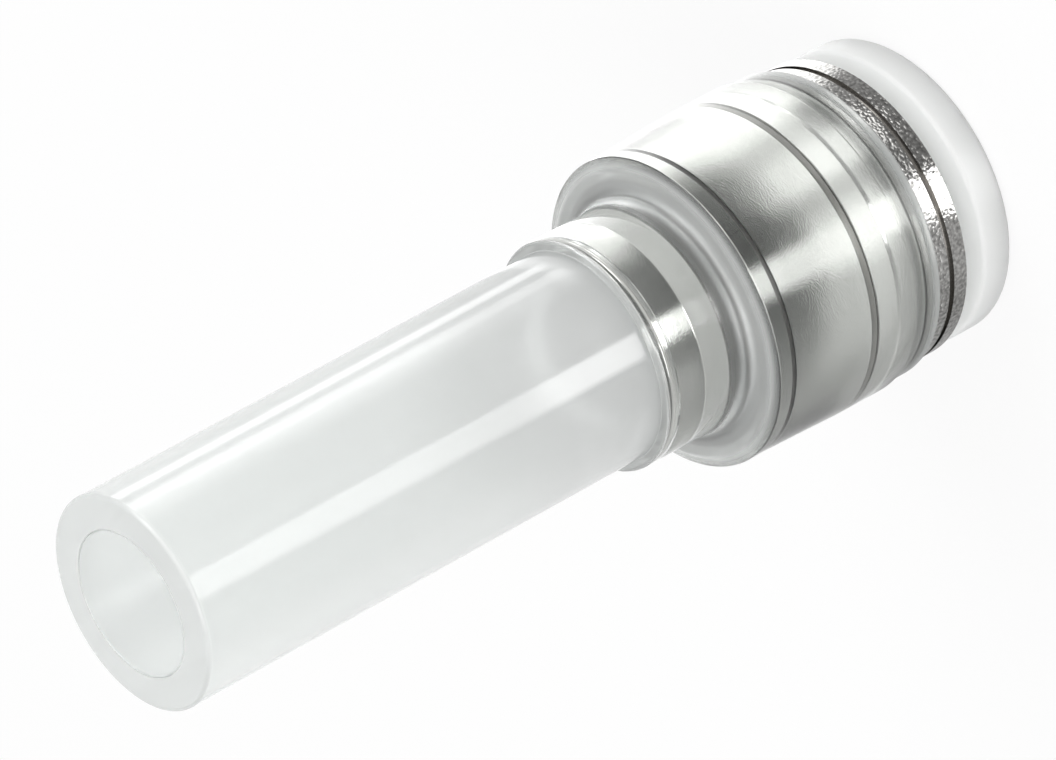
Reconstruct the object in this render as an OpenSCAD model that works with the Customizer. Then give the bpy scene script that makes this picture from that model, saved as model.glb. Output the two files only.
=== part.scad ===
// Push-in fitting: a clear moulded stem and barrel, with a steel gripping cartridge and a
// release ring in its mouth. Millimetres. It stands on the flat outer face of the release
// ring, with the origin at the middle of that face and the stem pointing up along +Z.

/* [Stem] */
// Outside diameter of the plug-in stem
stem_d = 10; // [9.6:0.1:10.4]
// Length of the stem beyond the neck
stem_len = 25.4; // [15:0.5:35]
// Diameter of the bore through the stem
stem_bore_d = 6.7; // [5.6:0.1:7.2]
// Rounding of the stem's outer end edge
stem_edge = 0.2; // [0.1:0.05:0.5]

/* [Neck and barrel] */
// Thinnest wall of the neck, where the sleeve flares inside it
neck_wall = 0.46; // [0.35:0.01:0.55]
// Length of the neck in front of the barrel's shoulder
neck_len = 4.55; // [3.5:0.05:7]
// Rounding of the neck's front edge
neck_edge = 0.15; // [0.05:0.05:0.3]
// Hollow fillet between the neck and the shoulder
neck_fillet = 1; // [0.5:0.1:1.1]
// Diameter of the barrel at its shoulder end
barrel_front_d = 14.68; // [14.4:0.05:15.6]
// Diameter of the barrel at its widest, towards the mouth
barrel_d = 15.01; // [14.9:0.05:16]
// Length of the barrel from its shoulder to its mouth
barrel_len = 9.8; // [9.4:0.1:12]
// Length over which the barrel narrows towards its shoulder
taper_len = 4.9; // [3:0.1:6]
// Rounding of the shoulder's outer edge
shoulder_round = 0.75; // [0.3:0.05:0.85]
// Length of the narrower band at the mouth of the barrel
mouth_len = 1.65; // [1:0.05:2.5]
// Diameter of the narrower band at the mouth
mouth_d = 14.75; // [14.5:0.05:14.85]
// Chamfer of the mouth's outer edge
mouth_chamfer = 0.2; // [0.1:0.05:0.4]

/* [Tube socket] */
// Outside diameter of the tube that pushes in
tube_d = 8; // [7.8:0.05:8.1]
// Radial room between the tube and its guides
tube_room = 0.1; // [0.05:0.01:0.15]
// Diameter of the chamber that holds the seal and the claw ring
chamber_d = 11.6; // [11.3:0.05:11.8]
// Wall of the steel sleeves
sleeve_wall = 0.5; // [0.35:0.05:0.6]
// Radial room between the sleeves and the moulding
sleeve_room = 0.04; // [0.02:0.01:0.08]
// Length of the sleeve's slim nose inside the neck
nose_len = 2.15; // [1.5:0.05:3]
// Wall of the sleeve's slim nose
nose_wall = 0.45; // [0.35:0.05:0.5]
// Height of the slim nose's foot above the shoulder's face
nose_foot = 1.95; // [1.5:0.05:2.2]
// Radial widening of the nose where it flares below its foot
nose_flare = 0.4; // [0.15:0.05:0.45]
// Length of the flare inside the neck
flare_len = 1.15; // [0.8:0.05:1.3]
// Radial widening of the sleeve from the flare down to its flat shoulder
collar_flare = 0.3; // [0.1:0.05:0.35]
// Thickness of clear moulding between the shoulder's face and the sleeve
shoulder_wall = 0.45; // [0.35:0.05:1.2]
// Depth of the line groove round the sleeve, close to its shoulder
line_depth = 0.2; // [0.1:0.02:0.3]
// Width of the line groove
line_w = 0.25; // [0.15:0.05:0.4]
// Distance of the line groove's middle from the sleeve's shoulder
line_down = 1.1; // [0.5:0.05:1.5]

/* [Claw ring] */
// Thickness of the claw ring's spring steel
claw_t = 0.3; // [0.2:0.05:0.35]
// Number of fingers around the claw ring
finger_count = 10; // [6:1:12]
// Angle at which the fingers lean into the socket
finger_angle = 45; // [38:1:50]
// Width of the slots between the fingers
slot_w = 0.45; // [0.3:0.05:0.65]
// Diameter of the round hole at the end of each slot
slot_end_d = 0.72; // [0.68:0.02:0.9]
// How far the finger tips reach inside the tube's surface at rest
finger_bite = 0.12; // [0.05:0.01:0.15]
// Radius at which the fingers bend out of the flat rim
finger_root_r = 5.05; // [4.9:0.05:5.2]
// How far the rim stays back from the sleeves' outer surface
rim_recess = 0.15; // [0.05:0.05:0.25]

/* [Support ring and seal] */
// Height of the support ring behind the claw
support_h = 2.5; // [2.1:0.05:2.6]
// Height of the lip seal
seal_h = 2.6; // [2.2:0.05:2.7]
// How far the seal's lip reaches inside the tube's surface at rest
lip_bite = 0.15; // [0.05:0.01:0.17]
// Thickness of the seal's two lips
lip_t = 0.5; // [0.35:0.05:0.6]

/* [End ring] */
// Diameter of the bare steel end ring
end_ring_d = 14.3; // [14:0.05:14.6]
// Height of the bare steel end ring
end_ring_h = 1.8; // [1.5:0.05:2.4]
// Height of the groove's middle above the end ring's outer face
groove_up = 0.94; // [0.6:0.02:1.1]
// Width of the groove round the end ring
groove_w = 0.26; // [0.15:0.02:0.4]
// Depth of the groove round the end ring
groove_depth = 0.3; // [0.1:0.05:0.5]
// Height of the inner lip that holds the release ring in
lip_h = 1.1; // [0.8:0.05:1.3]
// How far the barb that locks the end ring bites into the moulding
barb_bite = 0.1; // [0.06:0.02:0.3]
// Height of the barb
barb_h = 0.4; // [0.3:0.05:0.9]
// Height of the barb's step above the barrel's mouth
barb_up = 0.1; // [0.1:0.05:0.5]

/* [Release ring] */
// Diameter of the release ring's head
head_d = 14.1; // [13.4:0.1:14.4]
// Thickness of the release ring's head
head_h = 1.75; // [1.4:0.05:2.5]
// Rounding of the head's outer edge
head_round = 0.4; // [0.2:0.05:0.6]
// Rounding of the head's edge towards the end ring
head_back_round = 0.2; // [0.1:0.05:0.3]
// Lead-in chamfer at the mouth of the release ring
lead_in = 0.55; // [0.3:0.05:0.8]
// Distance the release ring travels when it is pressed
press_travel = 1; // [0.7:0.05:1.2]
// Wall of the release ring at its tip
tip_wall = 0.4; // [0.3:0.05:0.5]
// Outside diameter of the release ring's shank
shank_d = 10.7; // [10.4:0.05:10.8]
// Radial running gap of the shank in the end ring
shank_gap = 0.07; // [0.03:0.01:0.1]
// How far the snap bead stands out behind the end ring's lip
bead_hold = 0.16; // [0.08:0.02:0.2]
// Height of the snap bead
bead_h = 0.7; // [0.45:0.05:0.9]
// Height of the snap bead's round face, below its ramp
bead_face_h = 0.28; // [0.1:0.02:0.36]

/* [Hidden] */
$fn = 96;
// Small overlap that keeps cuts clean
eps = 0.01;
// Axial room between stacked pieces
stack_room = 0.03;
// Room left when the release ring is pressed home
stop_room = 0.1;
// Chamfer that breaks the sleeves' edges
edge_break = 0.08;
// Radial depth of the bevel that sharpens the finger tips
tip_bevel = 0.1;
// Share of the fingers' thickness that the bevel leaves blunt
tip_blunt = 0.4;
// Radial room and extra slope that the support ring's cone leaves the fingers
cone_room = 0.4;
cone_extra = 0.1;
// Share of the seal's height that its heel takes
heel_share = 0.4;
// Radius of the round bottom of the seal's valley
valley_round = 0.25;
// Height of the cutters that slot the fingers, and how far below the rim they start
slot_h = 4;
slot_drop = 1;

// Radii that mating pieces share
guide_r = tube_d / 2 + tube_room;
chamber_r = chamber_d / 2;
sleeve_r = chamber_r + sleeve_wall;
nose_r = guide_r + nose_wall;
flare_r = nose_r + nose_flare;
collar_r = flare_r + collar_flare;
neck_r = flare_r + sleeve_room + neck_wall;
shank_r = shank_d / 2;
ring_lip_r = shank_r + shank_gap;
finger_tip_r = tube_d / 2 - finger_bite;
seal_lip_r = tube_d / 2 - lip_bite;
mouth_r = mouth_d / 2;

// Heights above the release ring's outer face
end_ring_z = head_h + press_travel + stop_room;
mouth_z = end_ring_z + end_ring_h;
shoulder_z = mouth_z + barrel_len;
neck_z = shoulder_z + neck_len;
stem_end_z = neck_z + stem_len;
barb_z = mouth_z + barb_up;
cup_z = shoulder_z - shoulder_wall;
nose_z = shoulder_z + nose_foot;
flare_z = nose_z - flare_len;
nose_end_z = nose_z + nose_len;
tube_stop_z = nose_end_z + stack_room;

// The stack inside the chamber, counted back from the sleeve's flat shoulder
chamber_top_z = cup_z - sleeve_wall;
seal_top_z = chamber_top_z - stack_room;
seal_z = seal_top_z - seal_h;
support_top_z = seal_z - stack_room;
support_z = support_top_z - support_h;
claw_top_z = support_z - stack_room;
claw_z = claw_top_z - claw_t;
sleeve_z = claw_top_z + stack_room;
end_ring_top_z = claw_z - stack_room;

// Slopes of the fingers and of what follows them
finger_rise = tan(finger_angle);
finger_skin = claw_t / cos(finger_angle);
ring_tip_r = guide_r + tip_wall;
ring_top_z = claw_z + (finger_root_r - ring_tip_r) * finger_rise - press_travel - stop_room;

// Cuts a convex corner back to a rounding; the corner is at [x, z] and the material lies
// towards sx and sz
module corner_cut(x, z, sx, sz, radius) {
    translate([x, z])
        mirror([sx > 0 ? 1 : 0, 0])
            mirror([0, sz > 0 ? 1 : 0])
                difference() {
                    translate([-radius, -radius])
                        square(radius + eps);
                    translate([-radius, -radius])
                        circle(radius);
                }
}

// Fills a hollow corner with a fillet; the corner is at [x, z] and the fillet lies
// towards sx and sz
module corner_fill(x, z, sx, sz, radius) {
    translate([x, z])
        mirror([sx < 0 ? 1 : 0, 0])
            mirror([0, sz < 0 ? 1 : 0])
                difference() {
                    translate([-eps, -eps])
                        square(radius + eps);
                    translate([radius, radius])
                        circle(radius);
                }
}

// Outline of the barb round the end ring's tube, grown by a radial room: a step that faces
// the mouth and a ramp behind it
function barb_space(room) = [
    [sleeve_r + room, barb_z - room],
    [sleeve_r + barb_bite + room, barb_z - room],
    [sleeve_r + room, barb_z + barb_h + room]
];

// Outline of the space taken by the front sleeve, grown by a radial room
function sleeve_space(room) = [
    [sleeve_r + room, cup_z + room],
    [collar_r + room, cup_z + room],
    [flare_r + room, flare_z + room],
    [nose_r + room, nose_z + room]
];

// Outer skin of the moulding, as a half section
module housing_skin() {
    barrel_r = barrel_d / 2;
    front_r = barrel_front_d / 2;
    step_z = mouth_z + mouth_len;
    step_h = barrel_r - mouth_r;
    taper_top_z = shoulder_z - shoulder_round;
    difference() {
        union() {
            translate([0, neck_z - eps])
                square([stem_d / 2, stem_len + eps]);
            translate([0, shoulder_z - eps])
                square([neck_r, neck_len + eps]);
            polygon([
                [0, mouth_z],
                [mouth_r - mouth_chamfer, mouth_z],
                [mouth_r, mouth_z + mouth_chamfer],
                [mouth_r, step_z - step_h],
                [barrel_r, step_z],
                [barrel_r, taper_top_z - taper_len],
                [front_r, taper_top_z],
                [front_r, shoulder_z],
                [0, shoulder_z]
            ]);
            corner_fill(neck_r, shoulder_z, 1, 1, neck_fillet);
        }
        corner_cut(stem_d / 2, stem_end_z, -1, -1, stem_edge);
        corner_cut(neck_r, neck_z, -1, -1, neck_edge);
        corner_cut(front_r, shoulder_z, -1, -1, shoulder_round);
    }
}

// Clear moulding: stem, neck and barrel in one piece, hollow for the cartridge
module housing() {
    bore_r = sleeve_r + sleeve_room;
    color("gainsboro", 0.4)
        rotate_extrude()
            difference() {
                housing_skin();
                translate([0, mouth_z - eps])
                    square([stem_bore_d / 2, stem_end_z]);
                polygon(concat(
                    [[0, mouth_z - eps], [bore_r, mouth_z - eps]],
                    barb_space(sleeve_room),
                    sleeve_space(sleeve_room),
                    [[nose_r + sleeve_room, tube_stop_z], [0, tube_stop_z]]
                ));
            }
}

// Drawn steel sleeve: a wide cup for the seal with a line groove round it, a flat shoulder,
// a flared collar and a slim nose that guides the tube
module front_sleeve() {
    drop = sleeve_wall / 2;
    line_z = cup_z - line_down;
    color("silver")
        rotate_extrude()
            difference() {
                polygon(concat(
                    [
                        [chamber_r, sleeve_z],
                        [sleeve_r - edge_break, sleeve_z],
                        [sleeve_r, sleeve_z + edge_break]
                    ],
                    sleeve_space(0),
                    [
                        [nose_r, nose_end_z],
                        [guide_r, nose_end_z],
                        [guide_r, nose_z - drop],
                        [flare_r - sleeve_wall, flare_z - drop],
                        [collar_r - sleeve_wall, chamber_top_z],
                        [chamber_r, chamber_top_z]
                    ]
                ));
                translate([sleeve_r - line_depth, line_z - line_w / 2])
                    square([line_depth + eps, line_w]);
            }
}

// Steel end ring: the bare grooved band at the mouth, with a tube that clamps the claw ring
module end_ring() {
    ring_r = end_ring_d / 2;
    groove_z = end_ring_z + groove_up;
    color("darkgray")
        rotate_extrude()
            difference() {
                polygon(concat(
                    [
                        [ring_lip_r, end_ring_z],
                        [ring_r - edge_break, end_ring_z],
                        [ring_r, end_ring_z + edge_break],
                        [ring_r, mouth_z - stack_room - edge_break],
                        [ring_r - edge_break, mouth_z - stack_room],
                        [sleeve_r, mouth_z - stack_room]
                    ],
                    barb_space(0),
                    [
                        [sleeve_r, end_ring_top_z - edge_break],
                        [sleeve_r - edge_break, end_ring_top_z],
                        [chamber_r, end_ring_top_z],
                        [chamber_r, end_ring_z + lip_h],
                        [ring_lip_r, end_ring_z + lip_h]
                    ]
                ));
                translate([ring_r - groove_depth, groove_z - groove_w / 2])
                    square([groove_depth + eps, groove_w]);
            }
}

// Half section of the claw ring before it is slotted
module claw_profile() {
    reach = finger_root_r - finger_tip_r;
    tip_rise = reach * finger_rise;
    top_root_r = finger_root_r + claw_t * tan(finger_angle / 2);
    polygon([
        [sleeve_r - rim_recess, claw_z],
        [sleeve_r - rim_recess, claw_top_z],
        [top_root_r, claw_top_z],
        [finger_tip_r, claw_z + tip_rise + finger_skin],
        [finger_tip_r, claw_z + tip_rise + finger_skin * (1 - tip_blunt)],
        [finger_tip_r + tip_bevel, claw_z + tip_rise - tip_bevel * finger_rise],
        [finger_root_r, claw_z]
    ]);
}

// Spring steel claw ring: a flat rim with a wreath of fingers that lean inwards and grip
// the tube; each slot ends in a round hole that spares the bend
module claw_ring() {
    slot_len = finger_root_r + slot_w / 2;
    color("dimgray")
        difference() {
            rotate_extrude()
                claw_profile();
            for (i = [0 : finger_count - 1])
                rotate([0, 0, i * 360 / finger_count]) {
                    translate([0, -slot_w / 2, claw_z - slot_drop])
                        cube([slot_len, slot_w, slot_h]);
                    translate([slot_len, 0, claw_z - slot_drop])
                        cylinder(h = slot_h, r = slot_end_d / 2);
                }
        }
}

// Support ring: it clamps the claw's rim, and its hollow cone leaves the fingers room
module support_ring() {
    cone_r = finger_root_r + cone_room;
    cone_rise = (cone_r - guide_r) * (finger_rise + cone_extra);
    color("ivory")
        rotate_extrude()
            polygon([
                [chamber_r - stack_room, support_z],
                [chamber_r - stack_room, support_top_z],
                [guide_r, support_top_z],
                [guide_r, support_z + cone_rise],
                [cone_r, support_z]
            ]);
}

// Lip seal: a rubber ring with a round-bottomed valley between one lip against the sleeve
// and one that wraps the tube
module lip_seal() {
    outer_r = chamber_r - stack_room;
    heel_r = guide_r + lip_bite;
    heel_top_z = seal_z + seal_h * heel_share;
    lip_r = lip_t / 2;
    lip_z = seal_top_z - lip_r;
    valley_r = (outer_r + heel_r) / 2;
    valley_z = heel_top_z + valley_round;
    color("darkslategray")
        rotate_extrude()
            difference() {
                union() {
                    polygon([
                        [heel_r, seal_z],
                        [outer_r, seal_z],
                        [outer_r, lip_z],
                        [seal_lip_r, lip_z],
                        [heel_r, heel_top_z]
                    ]);
                    translate([seal_lip_r + lip_r, lip_z])
                        circle(lip_r);
                    translate([outer_r - lip_r, lip_z])
                        circle(lip_r);
                }
                translate([valley_r, valley_z])
                    circle(valley_round);
                polygon([
                    [valley_r - valley_round, valley_z],
                    [valley_r + valley_round, valley_z],
                    [outer_r - lip_t, lip_z],
                    [outer_r - lip_t, seal_top_z],
                    [seal_lip_r + lip_t, seal_top_z],
                    [seal_lip_r + lip_t, lip_z]
                ]);
            }
}

// Release ring: a wide head to press, a shank that runs in the end ring and a cone that
// spreads the fingers
module release_ring() {
    head_r = head_d / 2;
    bead_r = ring_lip_r + bead_hold;
    bead_z = end_ring_z + lip_h + stack_room;
    cone_h = (shank_r - ring_tip_r) * finger_rise;
    color("whitesmoke")
        rotate_extrude()
            difference() {
                union() {
                    polygon([
                        [guide_r + lead_in, 0],
                        [head_r, 0],
                        [head_r, head_h],
                        [shank_r, head_h],
                        [shank_r, ring_top_z - cone_h],
                        [ring_tip_r, ring_top_z],
                        [guide_r, ring_top_z],
                        [guide_r, lead_in]
                    ]);
                    polygon([
                        [shank_r - eps, bead_z],
                        [bead_r, bead_z],
                        [bead_r, bead_z + bead_face_h],
                        [shank_r - eps, bead_z + bead_h]
                    ]);
                }
                corner_cut(head_r, 0, -1, 1, head_round);
                corner_cut(head_r, head_h, -1, -1, head_back_round);
            }
}

housing();
front_sleeve();
end_ring();
claw_ring();
support_ring();
lip_seal();
release_ring();
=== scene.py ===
"""Looks of the push-in fitting: the clear moulded body, the steel cartridge inside it and the
milky release ring, on a white studio floor. Every size is in millimetres in the dataclass
fields and is turned to metres where a mesh, lamp or texture is made."""

import logging
import math
from dataclasses import dataclass
from enum import Enum
from typing import Optional, Union

import bpy
from mathutils import Matrix, Vector


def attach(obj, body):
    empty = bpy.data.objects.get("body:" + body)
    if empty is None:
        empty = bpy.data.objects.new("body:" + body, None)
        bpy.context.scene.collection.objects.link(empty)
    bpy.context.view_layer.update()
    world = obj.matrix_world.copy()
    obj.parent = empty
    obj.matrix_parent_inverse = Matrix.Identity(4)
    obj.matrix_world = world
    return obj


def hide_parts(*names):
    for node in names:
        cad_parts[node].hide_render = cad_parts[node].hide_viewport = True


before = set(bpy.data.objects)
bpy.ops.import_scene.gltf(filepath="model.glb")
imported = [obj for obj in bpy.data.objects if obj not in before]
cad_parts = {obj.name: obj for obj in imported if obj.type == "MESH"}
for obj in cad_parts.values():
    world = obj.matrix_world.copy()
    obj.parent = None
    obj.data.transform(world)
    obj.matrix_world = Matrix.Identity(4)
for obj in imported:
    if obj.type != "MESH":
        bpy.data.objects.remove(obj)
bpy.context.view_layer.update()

log = logging.getLogger("push_in_fitting")

MM = 0.001
BODY = "fitting_body"
RELEASE = "release"

# Socket numbers of the Mix node's colours, which share their names with its other kinds
COLOUR_A = 6
COLOUR_B = 7
COLOUR_OUT = 2


def linear(hex_colour: str) -> tuple[float, float, float, float]:
    """Turn an sRGB hex colour into the linear values that shaders use.

    Args:
        hex_colour: Six hex digits with or without a leading hash.

    Returns:
        Linear red, green and blue, and a full alpha.
    """
    digits = hex_colour.lstrip("#")
    channels = [int(digits[i : i + 2], 16) / 255 for i in (0, 2, 4)]
    toe, toe_slope, offset, power = 0.04045, 12.92, 0.055, 2.4
    red, green, blue = (
        c / toe_slope if c <= toe else ((c + offset) / (1 + offset)) ** power for c in channels
    )
    return red, green, blue, 1.0


def add_node(
    tree: bpy.types.NodeTree,
    kind: str,
    inputs: Optional[dict[Union[str, int], object]] = None,
    **settings: object,
) -> bpy.types.Node:
    """Add one node with its settings, values and links.

    Args:
        tree: The node tree that gets the node.
        kind: The node's Blender type name.
        inputs: Input name or number against a value, or against the socket that feeds it.
        **settings: Properties of the node itself.

    Returns:
        The new node.
    """
    node = tree.nodes.new(kind)
    for name, value in settings.items():
        setattr(node, name, value)
    for key, value in (inputs or {}).items():
        if isinstance(value, bpy.types.NodeSocket):
            tree.links.new(value, node.inputs[key])
        else:
            node.inputs[key].default_value = value
    return node


def fresh_material(name: str) -> tuple[bpy.types.Material, bpy.types.NodeTree]:
    """Make an empty node material.

    Args:
        name: The material's name.

    Returns:
        The material and its cleared node tree.
    """
    material = bpy.data.materials.new(name)
    material.use_nodes = True
    material.node_tree.nodes.clear()
    return material, material.node_tree


def fill_ramp(node: bpy.types.Node, stops: list[tuple[float, float]]) -> None:
    """Set the stops of a colour ramp to greys, with straight ways between them.

    Args:
        node: The colour ramp node.
        stops: Place and grey level of each stop, in order of place.
    """
    ramp = node.color_ramp
    ramp.interpolation = "LINEAR"
    while len(ramp.elements) < len(stops):
        ramp.elements.new(0.5)
    for element, (place, level) in zip(ramp.elements, stops):
        element.position = place
        element.color = (level, level, level, 1.0)


class Face(Enum):
    """Which of a piece's materials a face gets."""

    MAIN = 0
    # On the steel pieces, hollow faces take the steel with painted shade
    HOLLOW = 1
    COVERED = 2


@dataclass(frozen=True)
class Corner:
    """A corner of a half section, with the radius that rounds it off and the kind of face
    that starts there."""

    r: float
    z: float
    rounding: float = 0.0
    face: Face = Face.MAIN


@dataclass(frozen=True)
class Turning:
    """A closed half section turned round the upright axis.

    The corners run anticlockwise, so that the material lies on the left. A quarter turn of a
    rounding gets arc_steps flats, and a straight way under shortest is left out."""

    corners: tuple[Corner, ...]
    segments: int = 256
    arc_steps: int = 6
    shortest: float = 1e-6

    def stretches(self) -> list[tuple[Vector, Vector, Vector, Vector, Face]]:
        """Walk round the half section.

        Returns:
            One entry for each short stretch: its two ends, the outward normals there and
            the kind of face.
        """
        count = len(self.corners)
        tips = [Vector((c.r, c.z)) for c in self.corners]
        cuts: list[tuple[Vector, Vector]] = []
        arcs: list[list[tuple[Vector, Vector]]] = []
        for i, corner in enumerate(self.corners):
            tip = tips[i]
            back = (tips[i - 1] - tip).normalized()
            ahead = (tips[(i + 1) % count] - tip).normalized()
            if corner.rounding <= 0:
                cuts.append((tip, tip))
                arcs.append([])
                continue
            half = 0.5 * back.angle(ahead)
            reach = corner.rounding / math.tan(half)
            start, end = tip + back * reach, tip + ahead * reach
            centre = tip + (back + ahead).normalized() * (corner.rounding / math.sin(half))
            bulges = back.x * ahead.y - back.y * ahead.x < 0
            sign = 1.0 if bulges else -1.0
            turn = (start - centre).angle_signed(end - centre)
            steps = max(2, round(self.arc_steps * abs(turn) / (math.pi / 2)) + 1)
            arc = []
            for k in range(steps + 1):
                angle = turn * k / steps
                spoke = start - centre
                cosine, sine = math.cos(-angle), math.sin(-angle)
                rotated = Vector(
                    (spoke.x * cosine - spoke.y * sine, spoke.x * sine + spoke.y * cosine)
                )
                arc.append((centre + rotated, rotated.normalized() * sign))
            cuts.append((start, end))
            arcs.append(arc)
        found = []
        for i in range(count):
            face = self.corners[i].face
            for (a, na), (b, nb) in zip(arcs[i], arcs[i][1:]):
                found.append((a, b, na, nb, face))
            a, b = cuts[i][1], cuts[(i + 1) % count][0]
            way = b - a
            if way.length > self.shortest:
                normal = Vector((way.y, -way.x)).normalized()
                found.append((a, b, normal, normal, face))
        return found

    def build(self, name: str) -> bpy.types.Object:
        """Turn the half section into a mesh object with exact normals.

        Args:
            name: The object's name.

        Returns:
            The new object, linked to the scene.
        """
        stretches = self.stretches()
        round_steps = [
            (math.cos(2 * math.pi * j / self.segments), math.sin(2 * math.pi * j / self.segments))
            for j in range(self.segments)
        ]
        points = [
            (a.x * c * MM, a.x * s * MM, a.y * MM)
            for a, *_ in stretches
            for c, s in round_steps
        ]
        faces, normals = [], []
        for i, (_, _, na, nb, _) in enumerate(stretches):
            low, high = i * self.segments, (i + 1) % len(stretches) * self.segments
            for j in range(self.segments):
                k = (j + 1) % self.segments
                faces.append((low + j, low + k, high + k, high + j))
                (cj, sj), (ck, sk) = round_steps[j], round_steps[k]
                normals.append((na.x * cj, na.x * sj, na.y))
                normals.append((na.x * ck, na.x * sk, na.y))
                normals.append((nb.x * ck, nb.x * sk, nb.y))
                normals.append((nb.x * cj, nb.x * sj, nb.y))
        mesh = bpy.data.meshes.new(name)
        mesh.from_pydata(points, [], faces)
        slots = [entry[4].value for entry in stretches for _ in range(self.segments)]
        mesh.polygons.foreach_set("material_index", slots)
        mesh.shade_smooth()
        mesh.normals_split_custom_set(normals)
        mesh.update()
        made = bpy.data.objects.new(name, mesh)
        bpy.context.scene.collection.objects.link(made)
        return made


@dataclass(frozen=True)
class ClearPolycarbonate:
    """Clear polycarbonate, injection moulded: polished outside, and matt inside where the
    core pins formed it, so steel shows sharply close behind the wall and softly far behind.

    The lists by height give the eye a milky stem, a satin shoulder and a glassy barrel: share
    is how much milk lies over the clear plastic. Paleness is painted light and shade on that
    milk: it blends the milk from its painted-shade colour up to its full white, lighter on the
    shoulder's face and up the stem, darker in the barrel and round the neck, and a little
    darker again on the stem's end face. Flow marks tint it a little, and the ripple of the
    mould's polish bends what it mirrors."""

    tint: str = "#F7F9F8"
    flow_tint: str = "#FAFCFB"
    milk: str = "#F5F7F6"
    # Colour of the milk in painted shade; the paleness list blends it up to the full milk
    painted_shade_milk: str = "#B4B6B5"
    ior: float = 1.50
    core_roughness: float = 0.30
    share_by_mm: tuple[tuple[float, float], ...] = (
        (0.0, 0.5),
        (5.0, 0.5),
        (5.3, 0.05),
        (14.19, 0.05),
        (14.26, 0.4),
        (14.42, 0.72),
        (14.55, 0.35),
        (14.7, 0.06),
        (15.7, 0.05),
        (18.85, 0.05),
        (19.05, 0.9),
        (23.0, 0.85),
        (27.0, 0.6),
        (44.1, 0.45),
        (44.3, 0.6),
    )
    # Painted light and shade on the milk by height: 0 is the milk in painted shade, 1 the full
    # milk
    painted_light_by_mm: tuple[tuple[float, float], ...] = (
        (0.0, 0.0),
        (14.1, 0.0),
        (14.3, 0.35),
        (14.6, 0.35),
        (14.9, 0.0),
        (18.9, 0.16),
        (22.0, 0.4),
        (24.0, 0.5),
        (27.0, 0.8),
        (32.0, 0.84),
        (44.1, 0.84),
        (44.3, 0.7),
    )
    roughness_by_mm: tuple[tuple[float, float], ...] = (
        (0.0, 0.2),
        (5.1, 0.2),
        (6.0, 0.1),
        (8.0, 0.06),
        (14.18, 0.05),
        (14.26, 0.28),
        (15.1, 0.28),
        (15.5, 0.05),
        (19.0, 0.03),
        (44.4, 0.03),
    )
    flow_mm: float = 6.0
    flow_detail: float = 2.0
    ripple_mm: float = 2.5
    ripple_detail: float = 1.0
    ripple_strength: float = 0.35
    ripple_depth_mm: float = 0.01

    def by_height(
        self,
        tree: bpy.types.NodeTree,
        height: bpy.types.NodeSocket,
        stops: tuple[tuple[float, float], ...],
    ) -> bpy.types.NodeSocket:
        """Read a value off a list of heights.

        Args:
            tree: The material's node tree.
            height: The height above the standing face.
            stops: Height in mm and value of each stop, from the lowest up.

        Returns:
            A socket with the value.
        """
        top = stops[-1][0]
        part_way = add_node(
            tree, "ShaderNodeMapRange", {"Value": height, "From Max": top * MM}
        )
        ramp = add_node(tree, "ShaderNodeValToRGB", {"Fac": part_way.outputs[0]})
        fill_ramp(ramp, [(z / top, level) for z, level in stops])
        return ramp.outputs[0]

    def skin(self) -> bpy.types.Material:
        """Build the outside: polished, satin round the shoulder, and milky in the stem.

        Returns:
            The outer material.
        """
        material, tree = fresh_material("polished_polycarbonate")
        place = add_node(tree, "ShaderNodeTexCoord").outputs["Object"]
        height = add_node(tree, "ShaderNodeSeparateXYZ", {"Vector": place}).outputs["Z"]
        roughness = self.by_height(tree, height, self.roughness_by_mm)
        body = self.clear(tree, place, roughness)
        # The milk's colour carries painted light and shade, blended by height from shaded to full
        # milk
        painted_light_tone = add_node(
            tree,
            "ShaderNodeMix",
            {
                "Factor": self.by_height(tree, height, self.painted_light_by_mm),
                COLOUR_A: linear(self.painted_shade_milk),
                COLOUR_B: linear(self.milk),
            },
            data_type="RGBA",
        )
        milk = add_node(
            tree,
            "ShaderNodeBsdfPrincipled",
            {
                "Base Color": painted_light_tone.outputs[COLOUR_OUT],
                "Roughness": roughness,
                "IOR": self.ior,
            },
        )
        mixed = add_node(
            tree,
            "ShaderNodeMixShader",
            {
                0: self.by_height(tree, height, self.share_by_mm),
                1: body.outputs[0],
                2: milk.outputs[0],
            },
        )
        add_node(tree, "ShaderNodeOutputMaterial", {"Surface": mixed.outputs[0]})
        return material

    def core(self) -> bpy.types.Material:
        """Build the matt inside.

        Returns:
            The inner material.
        """
        material, tree = fresh_material("cored_polycarbonate")
        place = add_node(tree, "ShaderNodeTexCoord").outputs["Object"]
        body = self.clear(tree, place, self.core_roughness)
        add_node(tree, "ShaderNodeOutputMaterial", {"Surface": body.outputs[0]})
        return material

    def contact(self) -> bpy.types.Material:
        """Build the face that lies on the steel: with no air behind it, light goes straight
        on, and the steel fills the whole width of the barrel and the neck.

        Returns:
            The material of the inner faces round the steel.
        """
        material, tree = fresh_material("wetted_polycarbonate")
        clear = add_node(
            tree,
            "ShaderNodeBsdfPrincipled",
            {
                "Base Color": linear(self.tint),
                "Roughness": 0.0,
                "IOR": 1.0,
                "Transmission Weight": 1.0,
            },
        )
        body = self.lit_through(tree, clear)
        add_node(tree, "ShaderNodeOutputMaterial", {"Surface": body.outputs[0]})
        return material

    def lit_through(self, tree: bpy.types.NodeTree, body: bpy.types.Node) -> bpy.types.Node:
        """Let lamp light through to what the plastic covers.

        Args:
            tree: The material's node tree.
            body: The plastic's shader.

        Returns:
            The shader node to show.
        """
        path = add_node(tree, "ShaderNodeLightPath")
        through = add_node(tree, "ShaderNodeBsdfTransparent", {"Color": linear(self.tint)})
        return add_node(
            tree,
            "ShaderNodeMixShader",
            {0: path.outputs["Is Shadow Ray"], 1: body.outputs[0], 2: through.outputs[0]},
        )

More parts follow.
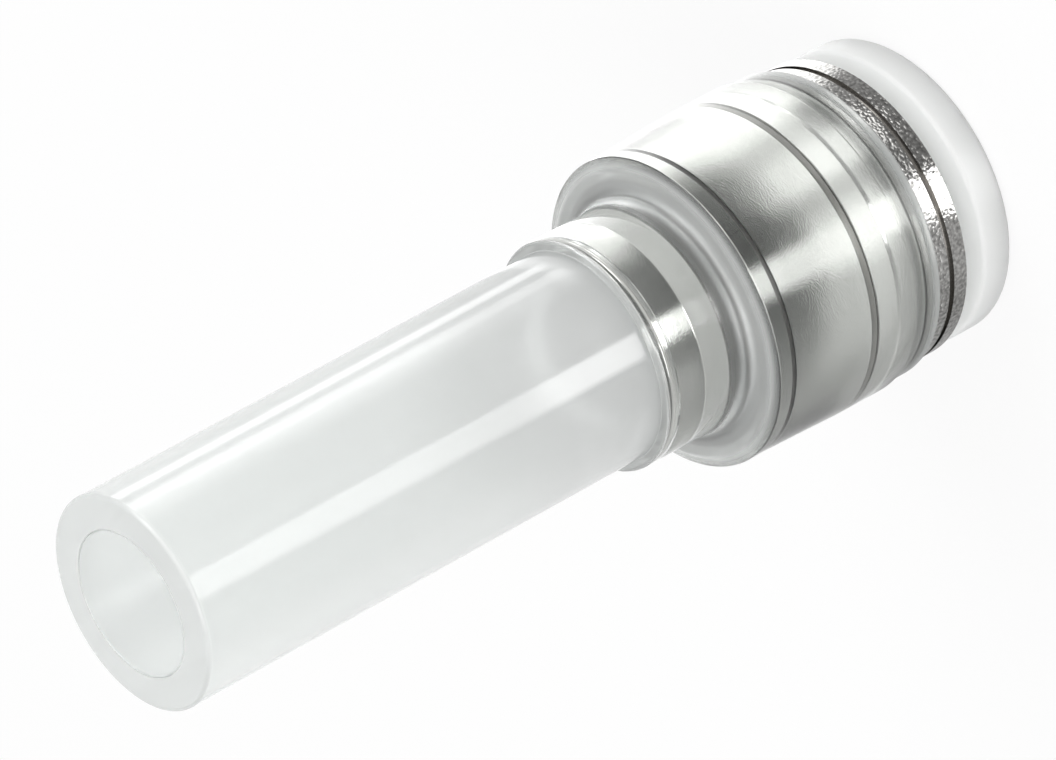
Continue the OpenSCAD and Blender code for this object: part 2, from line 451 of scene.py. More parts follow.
    def clear(
        self,
        tree: bpy.types.NodeTree,
        place: bpy.types.NodeSocket,
        roughness: Union[float, bpy.types.NodeSocket],
    ) -> bpy.types.Node:
        """Add the clear plastic itself.

        Args:
            tree: The material's node tree.
            place: The place on the object.
            roughness: How matt the surface is.

        Returns:
            The shader node, which lets lamp light through to what the plastic covers.
        """
        flow, ripple = (
            add_node(
                tree,
                "ShaderNodeTexNoise",
                {"Vector": place, "Scale": 1 / (size * MM), "Detail": detail},
            )
            for size, detail in (
                (self.flow_mm, self.flow_detail),
                (self.ripple_mm, self.ripple_detail),
            )
        )
        bump = add_node(
            tree,
            "ShaderNodeBump",
            {
                "Height": ripple.outputs["Fac"],
                "Strength": self.ripple_strength,
                "Distance": self.ripple_depth_mm * MM,
            },
        )
        tint = add_node(
            tree,
            "ShaderNodeMix",
            {
                "Factor": flow.outputs["Fac"],
                COLOUR_A: linear(self.tint),
                COLOUR_B: linear(self.flow_tint),
            },
            data_type="RGBA",
        )
        body = add_node(
            tree,
            "ShaderNodeBsdfPrincipled",
            {
                "Base Color": tint.outputs[COLOUR_OUT],
                "Roughness": roughness,
                "IOR": self.ior,
                "Transmission Weight": 1.0,
                "Normal": bump.outputs["Normal"],
            },
        )
        return self.lit_through(tree, body)


@dataclass(frozen=True)
class DrawnSteel:
    """Deep-drawn stainless steel: a satin skin with a slight grain and a slow waviness, which
    give the eye soft-edged reflections that waver a little. The real grain is about 0.02 mm
    and too fine to show, so it is drawn at grain_mm, the least that a pixel can carry. It
    takes the roughness from its smoothest to its roughest share."""

    name: str = "drawn_stainless_steel"
    colour: str = "#C9C8C5"
    pale: str = "#D6D5D2"
    roughness: float = 0.105
    grain_mm: float = 0.07
    grain_depth_mm: float = 0.0014
    grain_detail: float = 0.0
    wave_mm: float = 3.0
    wave_detail: float = 1.0
    wave_depth_mm: float = 0.011
    smoothest: float = 0.8
    roughest: float = 1.25

    def material(self) -> bpy.types.Material:
        """Build the node material.

        Returns:
            The material.
        """
        material, tree = fresh_material(self.name)
        place = add_node(tree, "ShaderNodeTexCoord").outputs["Object"]
        grain, wave = (
            add_node(
                tree,
                "ShaderNodeTexNoise",
                {"Vector": place, "Scale": 1 / (size * MM), "Detail": detail},
            ).outputs["Fac"]
            for size, detail in (
                (self.grain_mm, self.grain_detail),
                (self.wave_mm, self.wave_detail),
            )
        )
        colour = add_node(
            tree,
            "ShaderNodeMix",
            {"Factor": grain, COLOUR_A: linear(self.colour), COLOUR_B: linear(self.pale)},
            data_type="RGBA",
        )
        waved = add_node(
            tree,
            "ShaderNodeBump",
            {"Height": wave, "Strength": 1.0, "Distance": self.wave_depth_mm * MM},
        )
        bumped = add_node(
            tree,
            "ShaderNodeBump",
            {
                "Height": grain,
                "Strength": 1.0,
                "Distance": self.grain_depth_mm * MM,
                "Normal": waved.outputs["Normal"],
            },
        )
        rough = add_node(
            tree,
            "ShaderNodeMapRange",
            {
                "Value": grain,
                "To Min": self.roughness * self.smoothest,
                "To Max": self.roughness * self.roughest,
            },
        )
        steel = add_node(
            tree,
            "ShaderNodeBsdfPrincipled",
            {
                "Base Color": colour.outputs[COLOUR_OUT],
                "Metallic": 1.0,
                "Roughness": rough.outputs[0],
                "Normal": bumped.outputs["Normal"],
            },
        )
        add_node(tree, "ShaderNodeOutputMaterial", {"Surface": steel.outputs[0]})
        return material


@dataclass(frozen=True)
class MouldedPlastic:
    """An injection-moulded plastic: an even colour with faint flow marks and a fine skin, so
    that its highlights are broad and soft. Glow is the light that wanders inside it."""

    name: str
    colour: str
    flow: str
    roughness: float
    ior: float = 1.49
    glow: float = 0.0
    glow_mm: float = 3.0
    flow_mm: float = 3.0
    flow_detail: float = 3.0
    skin_mm: float = 0.2
    skin_detail: float = 2.0
    skin_depth_mm: float = 0.002
    smoothest: float = 0.85
    roughest: float = 1.15

    def material(self) -> bpy.types.Material:
        """Build the node material.

        Returns:
            The material.
        """
        material, tree = fresh_material(self.name)
        place = add_node(tree, "ShaderNodeTexCoord").outputs["Object"]
        flow, skin = (
            add_node(
                tree,
                "ShaderNodeTexNoise",
                {"Vector": place, "Scale": 1 / (size * MM), "Detail": detail},
            ).outputs["Fac"]
            for size, detail in (
                (self.flow_mm, self.flow_detail),
                (self.skin_mm, self.skin_detail),
            )
        )
        colour = add_node(
            tree,
            "ShaderNodeMix",
            {"Factor": flow, COLOUR_A: linear(self.colour), COLOUR_B: linear(self.flow)},
            data_type="RGBA",
        )
        bump = add_node(
            tree,
            "ShaderNodeBump",
            {"Height": skin, "Strength": 1.0, "Distance": self.skin_depth_mm * MM},
        )
        rough = add_node(
            tree,
            "ShaderNodeMapRange",
            {
                "Value": flow,
                "To Min": self.roughness * self.smoothest,
                "To Max": self.roughness * self.roughest,
            },
        )
        plastic = add_node(
            tree,
            "ShaderNodeBsdfPrincipled",
            {
                "Base Color": colour.outputs[COLOUR_OUT],
                "Roughness": rough.outputs[0],
                "IOR": self.ior,
                "Subsurface Weight": self.glow,
                "Subsurface Radius": (1.0, 1.0, 1.0),
                "Subsurface Scale": self.glow_mm * MM,
                "Normal": bump.outputs["Normal"],
            },
        )
        add_node(tree, "ShaderNodeOutputMaterial", {"Surface": plastic.outputs[0]})
        return material


@dataclass
class Housing:
    """The clear moulding: stem, neck and barrel in one piece.

    The barrel narrows from taper_z to front_h below the shoulder. Inside, the wall lies on the
    steel up to contact_z, and a rounded pocket above it takes the end of the front sleeve."""

    stem_r: float = 5.0
    stem_end_z: float = 44.4
    bore_r: float = 3.35
    neck_r: float = 5.45
    neck_z: float = 19.0
    neck_fillet: float = 1.0
    shoulder_z: float = 14.45
    front_r: float = 7.34
    face_drop: float = 0.24
    face_run: float = 0.62
    face_round: float = 0.4
    edge_round: float = 0.09
    barrel_r: float = 7.505
    taper_z: float = 8.8
    taper_round: float = 20.0
    front_h: float = 1.2
    front_round: float = 6.0
    step_z: float = 6.3
    step_h: float = 0.13
    mouth_r: float = 7.375
    mouth_z: float = 4.65
    sleeve_r: float = 6.34
    cup_z: float = 14.04
    collar_r: float = 5.29
    flare_r: float = 4.99
    flare_z: float = 15.29
    nose_r: float = 4.59
    nose_z: float = 16.44
    tube_stop_z: float = 18.58
    pocket_round: float = 0.6
    contact_z: float = 17.93

    def build(self, finish: ClearPolycarbonate) -> bpy.types.Object:
        """Make the moulding as one turned piece.

        Args:
            finish: The clear plastic.

        Returns:
            The piece, which stands for the CAD housing.
        """
        skin = (
            Corner(self.mouth_r, self.mouth_z, rounding=0.15),
            Corner(self.mouth_r, self.step_z - self.step_h, rounding=0.03),
            Corner(self.barrel_r, self.step_z, rounding=0.08),
            Corner(self.barrel_r, self.taper_z, rounding=self.taper_round),
            Corner(self.front_r, self.shoulder_z - self.front_h, rounding=self.front_round),
            Corner(self.front_r, self.shoulder_z - self.face_drop, rounding=self.edge_round),
            Corner(self.front_r - self.face_run, self.shoulder_z, rounding=self.face_round),
            Corner(self.neck_r, self.shoulder_z, rounding=self.neck_fillet),
            Corner(self.neck_r, self.neck_z, rounding=0.15),
            Corner(self.stem_r, self.neck_z, rounding=0.05),
            Corner(self.stem_r, self.stem_end_z, rounding=0.2),
            Corner(self.bore_r, self.stem_end_z, rounding=0.06, face=Face.HOLLOW),
            Corner(self.bore_r, self.tube_stop_z, rounding=0.03),
            Corner(self.nose_r, self.tube_stop_z, rounding=self.pocket_round),
            Corner(self.nose_r, self.contact_z, face=Face.COVERED),
            Corner(self.nose_r, self.nose_z, rounding=0.2),
            Corner(self.flare_r, self.flare_z, rounding=0.3),
            Corner(self.collar_r, self.cup_z, rounding=0.1),
            Corner(self.sleeve_r, self.cup_z, rounding=0.2, face=Face.COVERED),
            Corner(self.sleeve_r, self.mouth_z, rounding=0.03),
        )
        piece = Turning(skin).build("clear_body")
        for plastic in (finish.skin(), finish.core(), finish.contact()):
            piece.data.materials.append(plastic)
        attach(piece, BODY)
        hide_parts("housing")
        return piece


@dataclass
class FrontSleeve:
    """The drawn steel sleeve: a wide cup for the seal and a slim nose in the neck."""

    outer_r: float = 6.3
    inner_r: float = 5.8
    rim_z: float = 8.34
    line_z: float = 12.9
    line_w: float = 0.25
    line_depth: float = 0.2
    cup_z: float = 14.0
    collar_r: float = 5.25
    flare_r: float = 4.95
    flare_z: float = 15.25
    nose_r: float = 4.55
    nose_z: float = 16.4
    nose_end_z: float = 18.55
    guide_r: float = 4.1
    wall: float = 0.5

    def build(self, finish: DrawnSteel, painted_shade: DrawnSteel) -> bpy.types.Object:
        """Make the sleeve.

        Args:
            finish: The drawn steel.
            painted_shade: The darker steel with painted shade, for the turned line and the cup's
                end,
            which looks into the narrow space under the moulding's shoulder.

        Returns:
            The piece, which stands for the CAD front sleeve.
        """
        line_r = self.outer_r - self.line_depth
        foot, top = (self.line_z + sign * self.line_w / 2 for sign in (-1, 1))
        shape = (
            Corner(self.inner_r, self.rim_z, rounding=0.04),
            Corner(self.outer_r, self.rim_z, rounding=0.05),
            Corner(self.outer_r, foot, face=Face.HOLLOW),
            Corner(line_r, foot, face=Face.HOLLOW),
            Corner(line_r, top, face=Face.HOLLOW),
            Corner(self.outer_r, top, rounding=0.02),
            Corner(self.outer_r, self.cup_z, rounding=0.12, face=Face.HOLLOW),
            Corner(self.collar_r, self.cup_z, rounding=0.12, face=Face.HOLLOW),
            Corner(self.flare_r, self.flare_z, rounding=0.4),
            Corner(self.nose_r, self.nose_z, rounding=0.3),
            Corner(self.nose_r, self.nose_end_z, rounding=0.35),
            Corner(self.guide_r, self.nose_end_z, rounding=0.03),
            Corner(self.guide_r, self.nose_z - self.wall / 2, rounding=0.3),
            Corner(self.flare_r - self.wall, self.flare_z - self.wall / 2, rounding=0.3),
            Corner(self.collar_r - self.wall, self.cup_z - self.wall, rounding=0.1),
            Corner(self.inner_r, self.cup_z - self.wall, rounding=0.1),
        )
        piece = Turning(shape, segments=192).build("front_sleeve_steel")
        # The second material is steel with painted shade, for the turned line and the cup's end
        for steel in (finish, painted_shade):
            piece.data.materials.append(steel.material())
        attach(piece, BODY)
        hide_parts("front_sleeve")
        return piece


@dataclass
class EndRing:
    """The steel end ring: the bare grooved band at the mouth with its tube in the barrel,
    which a small barb holds there."""

    ring_r: float = 7.15
    ring_z: float = 2.85
    mouth_z: float = 4.62
    lip_r: float = 5.42
    lip_top_z: float = 3.95
    groove_z: float = 3.79
    groove_w: float = 0.26
    groove_depth: float = 0.3
    tube_r: float = 6.3
    tube_inner_r: float = 5.8
    barb_z: float = 4.75
    barb_bite: float = 0.1
    barb_h: float = 0.4
    barb_flat: float = 0.3
    top_z: float = 7.98

    def build(
        self, finish: DrawnSteel, painted_shade: DrawnSteel, covered: DrawnSteel
    ) -> bpy.types.Object:
        """Make the end ring.

        Args:
            finish: The steel of the end ring.
            painted_shade: The steel inside the ring's turned recess, darker as painted shade.
            covered: The steel of the tube inside the barrel.

        Returns:
            The piece, which stands for the CAD end ring.
        """
        groove_r = self.ring_r - self.groove_depth
        foot, top = (self.groove_z + sign * self.groove_w / 2 for sign in (-1, 1))
        barb_r = self.tube_r + self.barb_bite
        shape = (
            Corner(self.lip_r, self.ring_z, rounding=0.05),
            Corner(self.ring_r, self.ring_z, rounding=0.1),
            Corner(self.ring_r, foot, face=Face.HOLLOW),
            Corner(groove_r, foot, face=Face.HOLLOW),
            Corner(groove_r, top, face=Face.HOLLOW),
            Corner(self.ring_r, top, rounding=0.03),
            Corner(self.ring_r, self.mouth_z, rounding=0.08),
            Corner(self.tube_r, self.mouth_z, rounding=0.03, face=Face.COVERED),
            Corner(self.tube_r, self.barb_z, rounding=0.02, face=Face.COVERED),
            Corner(barb_r, self.barb_z, rounding=0.02, face=Face.COVERED),
            Corner(barb_r, self.barb_z + self.barb_flat, rounding=0.02, face=Face.COVERED),
            Corner(self.tube_r, self.barb_z + self.barb_h, rounding=0.02, face=Face.COVERED),
            Corner(self.tube_r, self.top_z, rounding=0.05, face=Face.COVERED),
            Corner(self.tube_inner_r, self.top_z, rounding=0.05),
            Corner(self.tube_inner_r, self.lip_top_z, rounding=0.1),
            Corner(self.lip_r, self.lip_top_z, rounding=0.05),
        )
        piece = Turning(shape).build("end_ring_steel")
        # The second material is steel with painted shade, for the groove
        for steel in (finish, painted_shade, covered):
            piece.data.materials.append(steel.material())
        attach(piece, BODY)
        # The gap to the release ring's head is narrow, and the steel's shadow would leave the
        # milky plastic dark there, where the eye expects it to glow.
        piece.visible_shadow = False
        piece.visible_diffuse = False
        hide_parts("end_ring")
        return piece


@dataclass
class ReleaseRing:
    """The milky release ring: head, shank, snap bead and cone."""

    head_r: float = 7.05
    head_h: float = 1.75
    head_round: float = 0.4
    inner_round: float = 0.2
    guide_r: float = 4.1
    lead_in: float = 0.55
    shank_r: float = 5.35
    bead_r: float = 5.58
    bead_z: float = 3.98
    bead_h: float = 0.7
    bead_flat: float = 0.28
    cone_z: float = 6.61
    tip_r: float = 4.5
    top_z: float = 7.46

    def build(self, finish: MouldedPlastic) -> bpy.types.Object:
        """Make the release ring.

        Args:
            finish: The milky plastic.

        Returns:
            The piece, which stands for the CAD release ring.
        """
        shape = (
            Corner(self.guide_r + self.lead_in, 0.0, rounding=0.15),
            Corner(self.head_r, 0.0, rounding=self.head_round),
            Corner(self.head_r, self.head_h, rounding=self.inner_round),
            Corner(self.shank_r, self.head_h, rounding=0.1),
            Corner(self.shank_r, self.bead_z, rounding=0.02),
            Corner(self.bead_r, self.bead_z, rounding=0.04),
            Corner(self.bead_r, self.bead_z + self.bead_flat, rounding=0.05),
            Corner(self.shank_r, self.bead_z + self.bead_h, rounding=0.05),
            Corner(self.shank_r, self.cone_z, rounding=0.1),
            Corner(self.tip_r, self.top_z, rounding=0.08),
            Corner(self.guide_r, self.top_z, rounding=0.05),
            Corner(self.guide_r, self.lead_in, rounding=0.2),
        )
        piece = Turning(shape).build("release_ring_plastic")
        piece.data.materials.append(finish.material())
        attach(piece, RELEASE)
        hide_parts("release_ring")
        return piece


@dataclass
class Cartridge:
    """The claw ring, support ring and lip seal, which keep their CAD shapes."""

    spring_steel: DrawnSteel
    support: MouldedPlastic
    rubber: MouldedPlastic

    def dress(self) -> None:
        """Give the three CAD nodes their materials."""
        for node, finish in (
            ("claw_ring", self.spring_steel),
            ("support_ring", self.support),
            ("lip_seal", self.rubber),
        ):
            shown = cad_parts[node]
            shown.data.materials.clear()
            shown.data.materials.append(finish.material())
            log.info("%s keeps its CAD shape", node)


@dataclass(frozen=True)
class SheetRing:
    """A ring of the reflecting sheet: its radii in mm where it is at its full, how far it
    fades, and its grey levels by bearing in degrees."""

    inner: float
    outer: float
    fade: float
    levels: tuple[tuple[float, float], ...]


# Mirrored by the bare ring and the head of the release ring
FOOT_LEVELS = (
    (-180, 1.6),
    (-150, 1.0),
    (-138, 0.6),
    (-92, 0.38),
    (-70, 0.34),
    (-54, 0.48),
    (-25, 0.44),
    (-21, 3.6),
    (-4, 3.6),
    (1, 0.2),
    (50, 0.26),
    (69, 0.42),
    (77, 1.4),
    (84, 1.9),
    (180, 1.8),
)
# Mirrored by the barrel's mouth
MOUTH_RING = SheetRing(
    inner=13.8,
    outer=14.9,
    fade=0.4,
    levels=(
        (-180, 1.6),
        (-140, 0.9),
        (-96, 0.8),
        (-60, 0.5),
        (-24, 0.42),
        (-18, 1.9),
        (-5, 2.0),
        (1, 0.45),
        (20, 0.4),
        (28, 1.9),
        (44, 1.9),
        (53, 0.6),
        (68, 0.45),
        (76, 0.7),
        (84, 1.9),
        (180, 1.9),
    ),
)
# Mirrored by the lower barrel, up to the gap between the steel sleeves
NEAR_RING = SheetRing(
    inner=15.6,
    outer=20.1,
    fade=0.4,
    levels=(
        (-180, 1.2),
        (-130, 0.65),
        (-105, 0.6),
        (-80, 0.9),
        (-37, 1.15),
        (-20, 1.95),
        (-4, 1.9),
        (13, 1.1),
        (20, 1.2),
        (29, 1.9),
        (44, 1.9),
        (58, 1.35),
        (66, 1.4),
        (78, 2.1),
        (90, 2.4),
        (104, 2.7),
        (180, 2.7),
    ),
)
# Mirrored by the foot of the front sleeve
BAR_RING = SheetRing(
    inner=20.4,
    outer=21.0,
    fade=0.4,
    levels=(
        (-180, 1.1),
        (-130, 0.6),
        (-100, 0.6),
        (-37, 0.5),
        (-24, 0.75),
        (-6, 0.85),
        (8, 0.5),
        (17, 0.65),
        (29, 1.7),
        (40, 1.5),
        (52, 1.05),
        (68, 1.4),
        (78, 2.0),
        (90, 2.4),
        (104, 2.7),
        (180, 2.7),
    ),
)
# Mirrored by the upper barrel
SHADOW_RING = SheetRing(
    inner=21.4,
    outer=29.6,
    fade=0.5,
    levels=(
        (-180, 1.4),
        (-150, 0.8),
        (-104, 0.45),
        (-86, 0.38),
        (-54, 0.22),
        (-29, 0.1),
        (-21, 1.3),
        (-7, 1.4),
        (1, 0.07),
        (25, 0.08),
        (60, 0.22),
        (76, 0.6),
        (84, 1.2),
        (92, 1.7),
        (104, 2.7),
        (180, 2.7),
    ),
)
# Mirrored by the neck
NECK_RING = SheetRing(
    inner=31.6,
    outer=33.5,
    fade=1.6,
    levels=(
        (-180, 1.0),
        (-110, 0.55),
        (-82, 0.75),
        (-60, 0.75),
        (-46, 0.35),
        (-29, 0.3),
        (-21, 0.55),
        (-6, 0.6),
        (2, 0.24),
        (46, 0.26),
        (56, 0.5),
        (68, 1.1),
        (180, 1.7),
    ),
)


@dataclass(frozen=True)
class Studio:
    """White floor, white surroundings, soft lamps and a sheet that only reflections see.

    Upright steel mirrors the sheet ring by ring: the lower a band of the part stands, the
    nearer to the foot lies what it mirrors. Bearings run from the photograph's side of the
    part towards its +X side, in degrees."""

    floor_r: float = 900.0
    sheet_in_r: float = 7.3
    sheet_out_r: float = 92.0
    sheet_z: float = 0.02
    world_level: float = 0.75
    world_dim: float = 0.75
    key_power: float = 1.9
    fill_power: float = 1.6
    sheet_peak: float = 8.0
    stem_in_r: float = 35.2
    stem_fade: float = 1.2
    stem_strip: float = 7.5
    end_in_r: float = 47.0
    end_fade: float = 6.0
    stem_end_strip: float = 4.2
    paper: str = "#E8E8E8"
    paper_glow: float = 0.85
    walls_reach: float = 0.8
    lamp_size: float = 400.0
    key_place: tuple[float, float, float] = (-350.0, -350.0, 600.0)
    fill_place: tuple[float, float, float] = (450.0, -150.0, 500.0)

    def stem_levels(self, strip: float) -> tuple[tuple[float, float], ...]:
        """List the greys that the stem reflects, with the long strip at a given level.

        Args:
            strip: The level of the strip.

        Returns:
            Bearing in degrees and level of each stop.
        """
        return (
            (-180, 1.0),
            (-110, 1.0),
            (-80, 0.7),
            (-31, 0.5),
            (-24, strip),
            (-5, strip),
            (-1, 0.5),
            (60, 0.6),
            (80, 1.8),
            (84, 3.0),
            (92, 3.0),
            (97, 1.1),
            (103, 1.1),
            (107, 3.4),
            (114, 3.4),
            (119, 1.0),
            (180, 1.0),
        )

    def white_where_seen(self, tree: bpy.types.NodeTree) -> bpy.types.NodeSocket:
        """Add up the light path's camera, glossy and transmission rays.

        Args:
            tree: The node tree that needs the sum.

        Returns:
            A socket that is 1 for those rays and 0 for all others.
        """
        path = add_node(tree, "ShaderNodeLightPath")
        first = add_node(
            tree,
            "ShaderNodeMath",
            {0: path.outputs["Is Camera Ray"], 1: path.outputs["Is Glossy Ray"]},
            operation="ADD",
        )
        both = add_node(
            tree,
            "ShaderNodeMath",
            {0: first.outputs[0], 1: path.outputs["Is Transmission Ray"]},
            operation="ADD",
            use_clamp=True,
        )
        return both.outputs[0]

    def floor(self) -> None:
        """Lay the floor, which stays white to the eye and keeps a soft shadow."""
        steps = 96
        ring = [
            (
                self.floor_r * MM * math.cos(2 * math.pi * i / steps),
                self.floor_r * MM * math.sin(2 * math.pi * i / steps),
                0.0,
            )
            for i in range(steps)
        ]
        mesh = bpy.data.meshes.new("studio_floor")
        mesh.from_pydata(ring, [], [tuple(range(steps))])
        floor = bpy.data.objects.new("studio_floor", mesh)
        bpy.context.scene.collection.objects.link(floor)
        material, tree = fresh_material("white_paper")
        paper = add_node(tree, "ShaderNodeBsdfDiffuse", {"Color": linear(self.paper)})
        glow = add_node(tree, "ShaderNodeEmission", {"Color": (1, 1, 1, 1), "Strength": 1.0})
        share = add_node(
            tree,
            "ShaderNodeMath",
            {0: self.white_where_seen(tree), 1: self.paper_glow},
            operation="MULTIPLY",
        )
        mixed = add_node(
            tree,
            "ShaderNodeMixShader",
            {0: share.outputs[0], 1: paper.outputs[0], 2: glow.outputs[0]},
        )
        add_node(tree, "ShaderNodeOutputMaterial", {"Surface": mixed.outputs[0]})
        mesh.materials.append(material)

    def surroundings(self) -> None:
        """Set the world: white where it is seen, dimmer on the -X side for reflections."""
        world = bpy.data.worlds.new("white_studio")
        bpy.context.scene.world = world
        world.use_nodes = True
        tree = world.node_tree
        tree.nodes.clear()
        way = add_node(tree, "ShaderNodeTexCoord").outputs["Generated"]
        sideways = add_node(tree, "ShaderNodeSeparateXYZ", {"Vector": way}).outputs["X"]
        walls = add_node(
            tree,
            "ShaderNodeMapRange",
            {
                "Value": sideways,
                "From Min": -self.walls_reach,
                "From Max": self.walls_reach,
                "To Min": self.world_dim,
                "To Max": 1.0,
            },
        )
        path = add_node(tree, "ShaderNodeLightPath")
        white = add_node(
            tree,
            "ShaderNodeMath",
            {0: walls.outputs[0], 1: path.outputs["Is Camera Ray"]},
            operation="MAXIMUM",
        )
        level = add_node(
            tree,
            "ShaderNodeMapRange",
            {
                "Value": self.white_where_seen(tree),
                "To Min": self.world_level,
                "To Max": white.outputs[0],
            },
        )
        back = add_node(
            tree,
            "ShaderNodeBackground",
            {"Color": (1, 1, 1, 1), "Strength": level.outputs[0]},
        )
        add_node(tree, "ShaderNodeOutputWorld", {"Surface": back.outputs[0]})

    def levels_by_bearing(
        self,
        tree: bpy.types.NodeTree,
        turned: bpy.types.NodeSocket,
        levels: tuple[tuple[float, float], ...],
    ) -> bpy.types.NodeSocket:
        """Read grey levels off a list of bearings.

        Args:
            tree: The sheet's node tree.
            turned: The bearing, as a share of a full turn from -180 degrees.
            levels: Bearing in degrees and level of each stop.

        Returns:
            A colour socket, as a share of the sheet's peak.
        """
        ramp = add_node(tree, "ShaderNodeValToRGB", {"Fac": turned})
        fill_ramp(ramp, [((b + 180) / 360, level / self.sheet_peak) for b, level in levels])
        return ramp.outputs["Color"]

    def reflecting_sheet(self) -> None:
        """Lay grey and bright sectors round the foot, seen in reflections only."""
        steps = 128
        points, faces = [], []
        for i in range(steps):
            angle = 2 * math.pi * i / steps
            for r in (self.sheet_in_r, self.sheet_out_r):
                points.append(
                    (r * MM * math.cos(angle), r * MM * math.sin(angle), self.sheet_z * MM)
                )
            k = (i + 1) % steps
            faces.append((2 * i, 2 * i + 1, 2 * k + 1, 2 * k))
        mesh = bpy.data.meshes.new("reflecting_sheet")
        mesh.from_pydata(points, [], faces)
        sheet = bpy.data.objects.new("reflecting_sheet", mesh)
        bpy.context.scene.collection.objects.link(sheet)
        mesh.materials.append(self.grey_card())
        # Only reflections and light through the clear plastic meet the sheet
        sheet.visible_camera = False
        sheet.visible_diffuse = False
        sheet.visible_shadow = False

    def grey_card(self) -> bpy.types.Material:
        """Build the sheet's finish: the rings' greys laid over each other from the foot out.

        Returns:
            The material.
        """
        material, tree = fresh_material("grey_card")
        place = add_node(tree, "ShaderNodeTexCoord").outputs["Object"]
        parts = add_node(tree, "ShaderNodeSeparateXYZ", {"Vector": place})
        towards = add_node(
            tree, "ShaderNodeMath", {0: parts.outputs["Y"], 1: -1.0}, operation="MULTIPLY"
        )
        bearing = add_node(
            tree,
            "ShaderNodeMath",
            {0: parts.outputs["X"], 1: towards.outputs[0]},
            operation="ARCTAN2",
        )
        turned = add_node(
            tree,
            "ShaderNodeMapRange",
            {"Value": bearing.outputs[0], "From Min": -math.pi, "From Max": math.pi},
        )
        radius = add_node(
            tree, "ShaderNodeVectorMath", {0: place}, operation="LENGTH"
        ).outputs["Value"]
        share = add_node(
            tree,
            "ShaderNodeMath",
            {0: radius, 1: self.sheet_out_r * MM},
            operation="DIVIDE",
        ).outputs[0]
        out = self.sheet_out_r
        colour = self.levels_by_bearing(tree, turned.outputs[0], FOOT_LEVELS)
        for ring in (
            MOUTH_RING,
            NEAR_RING,
            BAR_RING,
            SHADOW_RING,
            NECK_RING,
            SheetRing(self.stem_in_r, out, self.stem_fade, self.stem_levels(self.stem_strip)),
            SheetRing(self.end_in_r, out, self.end_fade, self.stem_levels(self.stem_end_strip)),
            SheetRing(out, out, self.end_fade, ((-180, 1.0), (180, 1.0))),
        ):
            window = add_node(tree, "ShaderNodeValToRGB", {"Fac": share})
            edges = [(ring.inner - ring.fade, 0.0), (ring.inner, 1.0)]
            if ring.outer < out:
                edges += [(ring.outer, 1.0), (ring.outer + ring.fade, 0.0)]
            fill_ramp(window, [(r / out, level) for r, level in edges])
            laid = add_node(
                tree,
                "ShaderNodeMix",
                {
                    "Factor": window.outputs["Color"],
                    COLOUR_A: colour,
                    COLOUR_B: self.levels_by_bearing(tree, turned.outputs[0], ring.levels),
                },
                data_type="RGBA",
            )
            colour = laid.outputs[COLOUR_OUT]
        glow = add_node(
            tree,
            "ShaderNodeEmission",
            {"Color": colour, "Strength": self.sheet_peak},
        )
        add_node(tree, "ShaderNodeOutputMaterial", {"Surface": glow.outputs[0]})
        return material

    def lamps(self) -> None:
        """Hang the soft lamps that give the plain light."""
        for name, place, power in (
            ("key_softbox", self.key_place, self.key_power),
            ("fill_softbox", self.fill_place, self.fill_power),
        ):
            data = bpy.data.lights.new(name, "AREA")
            data.size = self.lamp_size * MM
            data.energy = power
            lamp = bpy.data.objects.new(name, data)
            lamp.location = Vector(place) * MM
            lamp.rotation_euler = (-lamp.location).to_track_quat("-Z", "Y").to_euler()
            lamp.visible_camera = False
            bpy.context.scene.collection.objects.link(lamp)

    def build(self) -> None:
        """Set up the whole studio."""
        self.floor()
        self.surroundings()
        self.reflecting_sheet()
        self.lamps()
        log.info("studio is set")


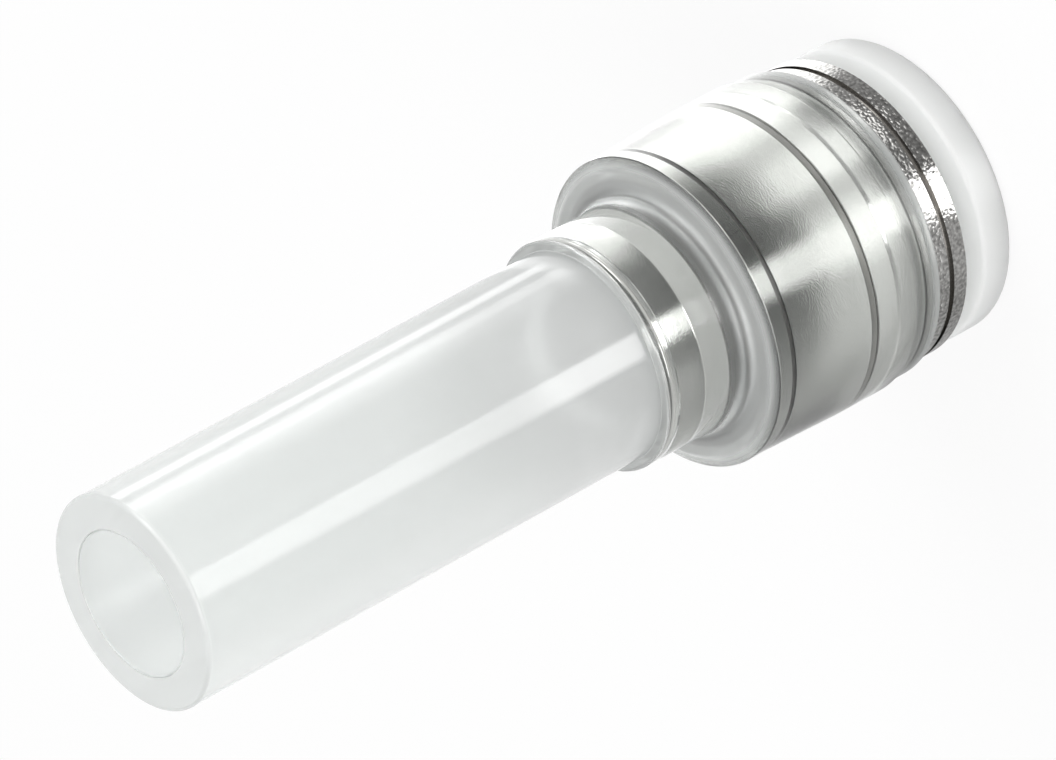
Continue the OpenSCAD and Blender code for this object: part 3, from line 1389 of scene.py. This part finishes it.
@dataclass(frozen=True)
class PhotoCamera:
    """The camera as fitted to the photograph, in a picture of 1056 by 760 pixels: up and base
    are the part's +Z and its origin, in mm, along the camera's own axes."""

    picture_width: float = 1056.0
    focal_pixels: float = 9284.406
    up: tuple[float, float, float] = (-0.743519, -0.405562, 0.531695)
    base: tuple[float, float, float] = (16.484, 8.680, -409.931)
    sensor_width: float = 36.0
    nearest: float = 0.01
    farthest: float = 10.0

    def build(self) -> None:
        """Place the camera and make it the scene's."""
        up = Vector(self.up).normalized()
        back = Vector((0.0, 0.0, 1.0))
        away = -(back - up * back.dot(up)).normalized()
        right = away.cross(up)
        seen = Matrix((right, away, up)).transposed()
        data = bpy.data.cameras.new("photo_camera")
        data.sensor_fit = "HORIZONTAL"
        data.sensor_width = self.sensor_width
        data.lens = self.focal_pixels / self.picture_width * data.sensor_width
        data.clip_start = self.nearest
        data.clip_end = self.farthest
        camera = bpy.data.objects.new("photo_camera", data)
        turn = seen.transposed()
        place = -(turn @ (Vector(self.base) * MM))
        camera.matrix_world = Matrix.Translation(place) @ turn.to_4x4()
        bpy.context.scene.collection.objects.link(camera)
        bpy.context.scene.camera = camera
        log.info("camera stands at %s", tuple(round(v, 4) for v in place))


def main() -> None:
    """Build the camera, the studio and every piece in order."""
    logging.basicConfig(level=logging.INFO, format="%(name)s: %(message)s")
    scene = bpy.context.scene
    scene.view_settings.view_transform = "Standard"
    PhotoCamera().build()
    Studio().build()
    plain = DrawnSteel()
    # Turned groove in the bare ring: painted shade makes it darker than the skin, to read as a
    # line
    painted_shade_groove_steel = DrawnSteel(name="groove_steel_painted_shade", colour="#A5A3A0", pale="#B2B0AD", roughness=0.15)
    # Turned line and cut end of the sleeve: dull, with painted shade, dark through the plastic
    painted_shade_line_steel = DrawnSteel(name="line_steel_painted_shade", colour="#6B6A68", pale="#787774", roughness=0.5)
    # Stainless steel with a pressed grain, which breaks reflections into sparks. The real
    # grain is about half as coarse and would blur away at this distance.
    grained = DrawnSteel(
        name="grained_stainless_steel",
        colour="#7A7977",
        pale="#FAF9F6",
        roughness=0.12,
        grain_mm=0.15,
        grain_depth_mm=0.027,
        grain_detail=0.5,
        wave_depth_mm=0.002,
    )
    # Natural polypropylene: milky and soft, with light that wanders through the whole head
    milky = MouldedPlastic("natural_polypropylene", "#DEDFDE", "#DBDCDB", 0.5, glow=1.0)
    # Stamped spring steel: duller and darker than the drawn steel
    spring = DrawnSteel(name="spring_steel", colour="#94928E", pale="#A09E9A", roughness=0.4)
    # Natural acetal: an even, slightly yellow white
    acetal = MouldedPlastic("natural_acetal", "#EAE7DC", "#E2DFD3", 0.45)
    # Moulded seal rubber: near black and matt
    rubber = MouldedPlastic("seal_rubber", "#1D1E1F", "#26272A", 0.6)
    for piece in (
        Housing().build(ClearPolycarbonate()),
        FrontSleeve().build(plain, painted_shade_line_steel),
        EndRing().build(grained, painted_shade_groove_steel, plain),
        ReleaseRing().build(milky),
    ):
        log.info("%s: %d faces", piece.name, len(piece.data.polygons))
    Cartridge(spring, acetal, rubber).dress()


if __name__ == "__main__":
    main()
